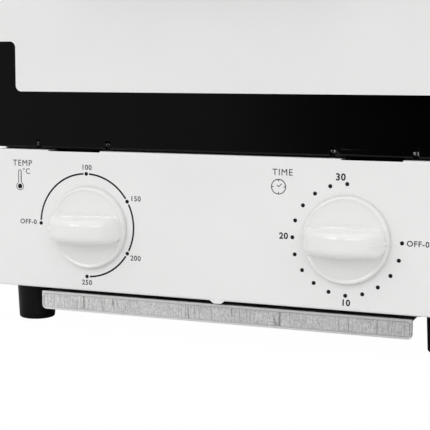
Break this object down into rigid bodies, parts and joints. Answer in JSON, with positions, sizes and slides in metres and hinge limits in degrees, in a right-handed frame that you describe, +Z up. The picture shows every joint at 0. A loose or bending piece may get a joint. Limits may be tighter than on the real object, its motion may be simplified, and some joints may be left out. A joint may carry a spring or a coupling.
{
  "type": "dry heat sterilizer",
  "caption": "Bench-top dry heat sterilizer with a bottom-hung door, a heated chamber with wire shelf and instrument tray, temperature and timer knobs, rubber feet and a pull-out catch tray.",
  "frame": {"origin": "on the surface that the feet stand on, below the middle of the whole part's box", "axes": "+X to the right as seen from the front, +Y from the front to the back, +Z up"},
  "size_m": [0.252, 0.2256, 0.2188],
  "materials": {
    "white_enamel": "semi-gloss powder coat",
    "black_enamel": "gloss",
    "zinc_plate": "galvanised, satin",
    "steel": "bright",
    "ceramic": "matt",
    "rubber": "matt",
    "knob_plastic": "satin gloss",
    "handle_plastic": "satin",
    "copper": "bright",
    "brass": "bright",
    "wire_sleeve": "matt glass sleeving",
    "mineral_wool": "fibrous, matt"
  },
  "bodies": {
    "housing": {"housing_wrap": "white_enamel", "control_panel": "white_enamel", "front_frame": "black_enamel", "hinge_bracket_left": "black_enamel", "hinge_bracket_right": "black_enamel", "base_plate": "zinc_plate", "back_panel": "zinc_plate", "tray_rail_left": "zinc_plate", "tray_rail_right": "zinc_plate", "chamber_liner": "zinc_plate", "timer_body": "zinc_plate", "hinge_pin_left": "steel", "hinge_pin_right": "steel", "heating_element_lower": "steel", "heating_element_upper": "steel", "element_support_lower": "steel", "element_support_upper": "steel", "catch_clip": "steel", "element_bush_lower_left": "ceramic", "element_bush_lower_right": "ceramic", "element_bush_upper_left": "ceramic", "element_bush_upper_right": "ceramic", "thermostat_body": "ceramic", "terminal_block": "ceramic", "foot_front_left": "rubber", "foot_front_right": "rubber", "foot_rear_left": "rubber", "foot_rear_right": "rubber", "cord_gland": "rubber", "capillary_tube": "copper", "sensor_bulb": "copper", "bulb_clip": "copper", "timer_bell": "brass", "wire_thermostat": "wire_sleeve", "wire_timer": "wire_sleeve", "wire_lower_element": "wire_sleeve", "wire_upper_element": "wire_sleeve", "chamber_insulation": "mineral_wool"},
    "door": {"door_frame": "black_enamel", "door_skin": "white_enamel", "door_liner": "zinc_plate", "door_insulation": "mineral_wool", "door_handle": "handle_plastic", "handle_screw_left": "steel", "handle_screw_right": "steel", "shelf_hook_left": "steel", "shelf_hook_right": "steel", "catch_stud": "steel"},
    "catch_tray": {"catch_tray": "zinc_plate"},
    "temperature_control": {"temperature_knob": "knob_plastic", "temperature_shaft": "steel"},
    "timer_control": {"timer_knob": "knob_plastic", "timer_shaft": "steel"},
    "shelf": {"wire_shelf": "steel", "instrument_tray": "steel"}
  },
  "joints": [
    {"name": "door_hinge", "type": "hinge", "parent": "housing", "child": "door", "pos_m": [0, -0.07725, 0.0979], "axis": [1, 0, 0], "range_deg": [0, 90]},
    {"name": "catch_tray_slide", "type": "slide", "parent": "housing", "child": "catch_tray", "axis": [0, -1, 0], "range_m": [0, 0.15]},
    {"name": "temperature_knob_turn", "type": "hinge", "parent": "housing", "child": "temperature_control", "pos_m": [-0.0703, -0.08085, 0.0545], "axis": [0, 1, 0], "range_deg": [0, 270]},
    {"name": "timer_knob_turn", "type": "hinge", "parent": "housing", "child": "timer_control", "pos_m": [0.0678, -0.08085, 0.0554], "axis": [0, 1, 0], "range_deg": [0, 270]},
    {"name": "shelf_slide", "type": "slide", "parent": "housing", "child": "shelf", "axis": [0, -1, 0], "range_m": [0, 0.041]}
  ],
  "couplings": [
    {"joint": "shelf_slide", "follows": "door_hinge", "m_per_rad": 0.026}
  ]
}
